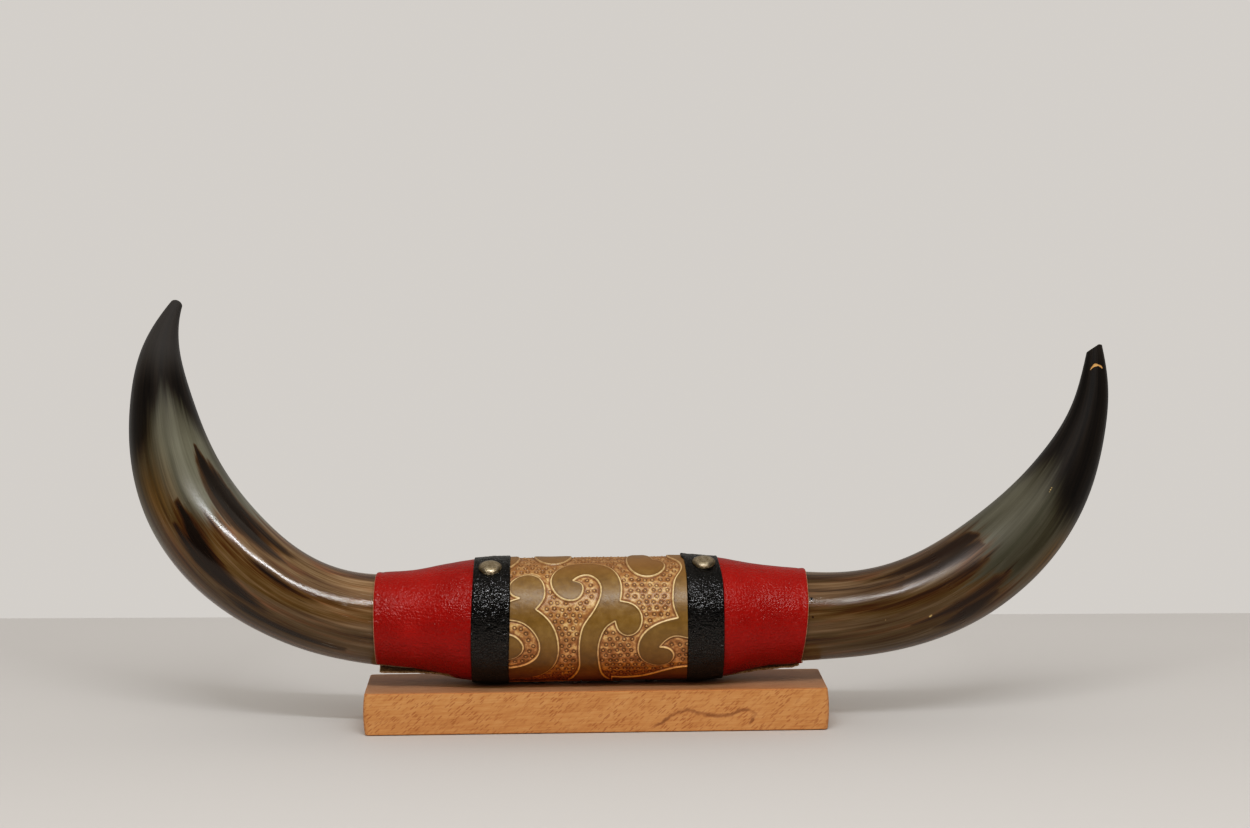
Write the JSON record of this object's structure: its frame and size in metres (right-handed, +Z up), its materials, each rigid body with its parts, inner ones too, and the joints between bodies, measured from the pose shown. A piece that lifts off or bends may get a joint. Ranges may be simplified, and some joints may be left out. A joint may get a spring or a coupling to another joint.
{
  "type": "mounted cattle horns",
  "caption": "Pair of polished cattle horns joined by a leather covered core and mounted on a flat wooden block, as a shelf ornament.",
  "frame": {"origin": "middle of the wooden block's underside, on the surface the object stands on", "axes": "+Z up, +X along the block and the core, towards the horn with the slanted tip, +Y towards the back, the side both horns lean to"},
  "size_m": [0.6496, 0.1267, 0.2723],
  "materials": {
    "block_wood": "satin, oiled beech",
    "inner_wood": "plain turned wood",
    "horn": "polished horn (keratin)",
    "tan_leather": "tooled and antiqued",
    "red_leather": "fine grain, worn sheen",
    "black_leather": "pebbled, glossy",
    "nail_metal": "antiqued, polished crown",
    "steel": "plain"
  },
  "bodies": {
    "root": {"base_block": "block_wood", "core": "inner_wood", "left_plug": "inner_wood", "right_plug": "inner_wood", "left_dowel": "inner_wood", "right_dowel": "inner_wood", "left_horn": "horn", "right_horn": "horn", "left_horn_brads": "steel", "right_horn_brads": "steel", "tooled_wrap": "tan_leather", "left_collar": "red_leather", "right_collar": "red_leather", "left_strap": "black_leather", "right_strap": "black_leather", "left_dome_nail": "nail_metal", "right_dome_nail": "nail_metal", "wrap_tacks": "steel", "left_strap_tacks": "steel", "right_strap_tacks": "steel", "base_screw_left": "steel", "base_screw_right": "steel"}
  },
  "joints": []
}
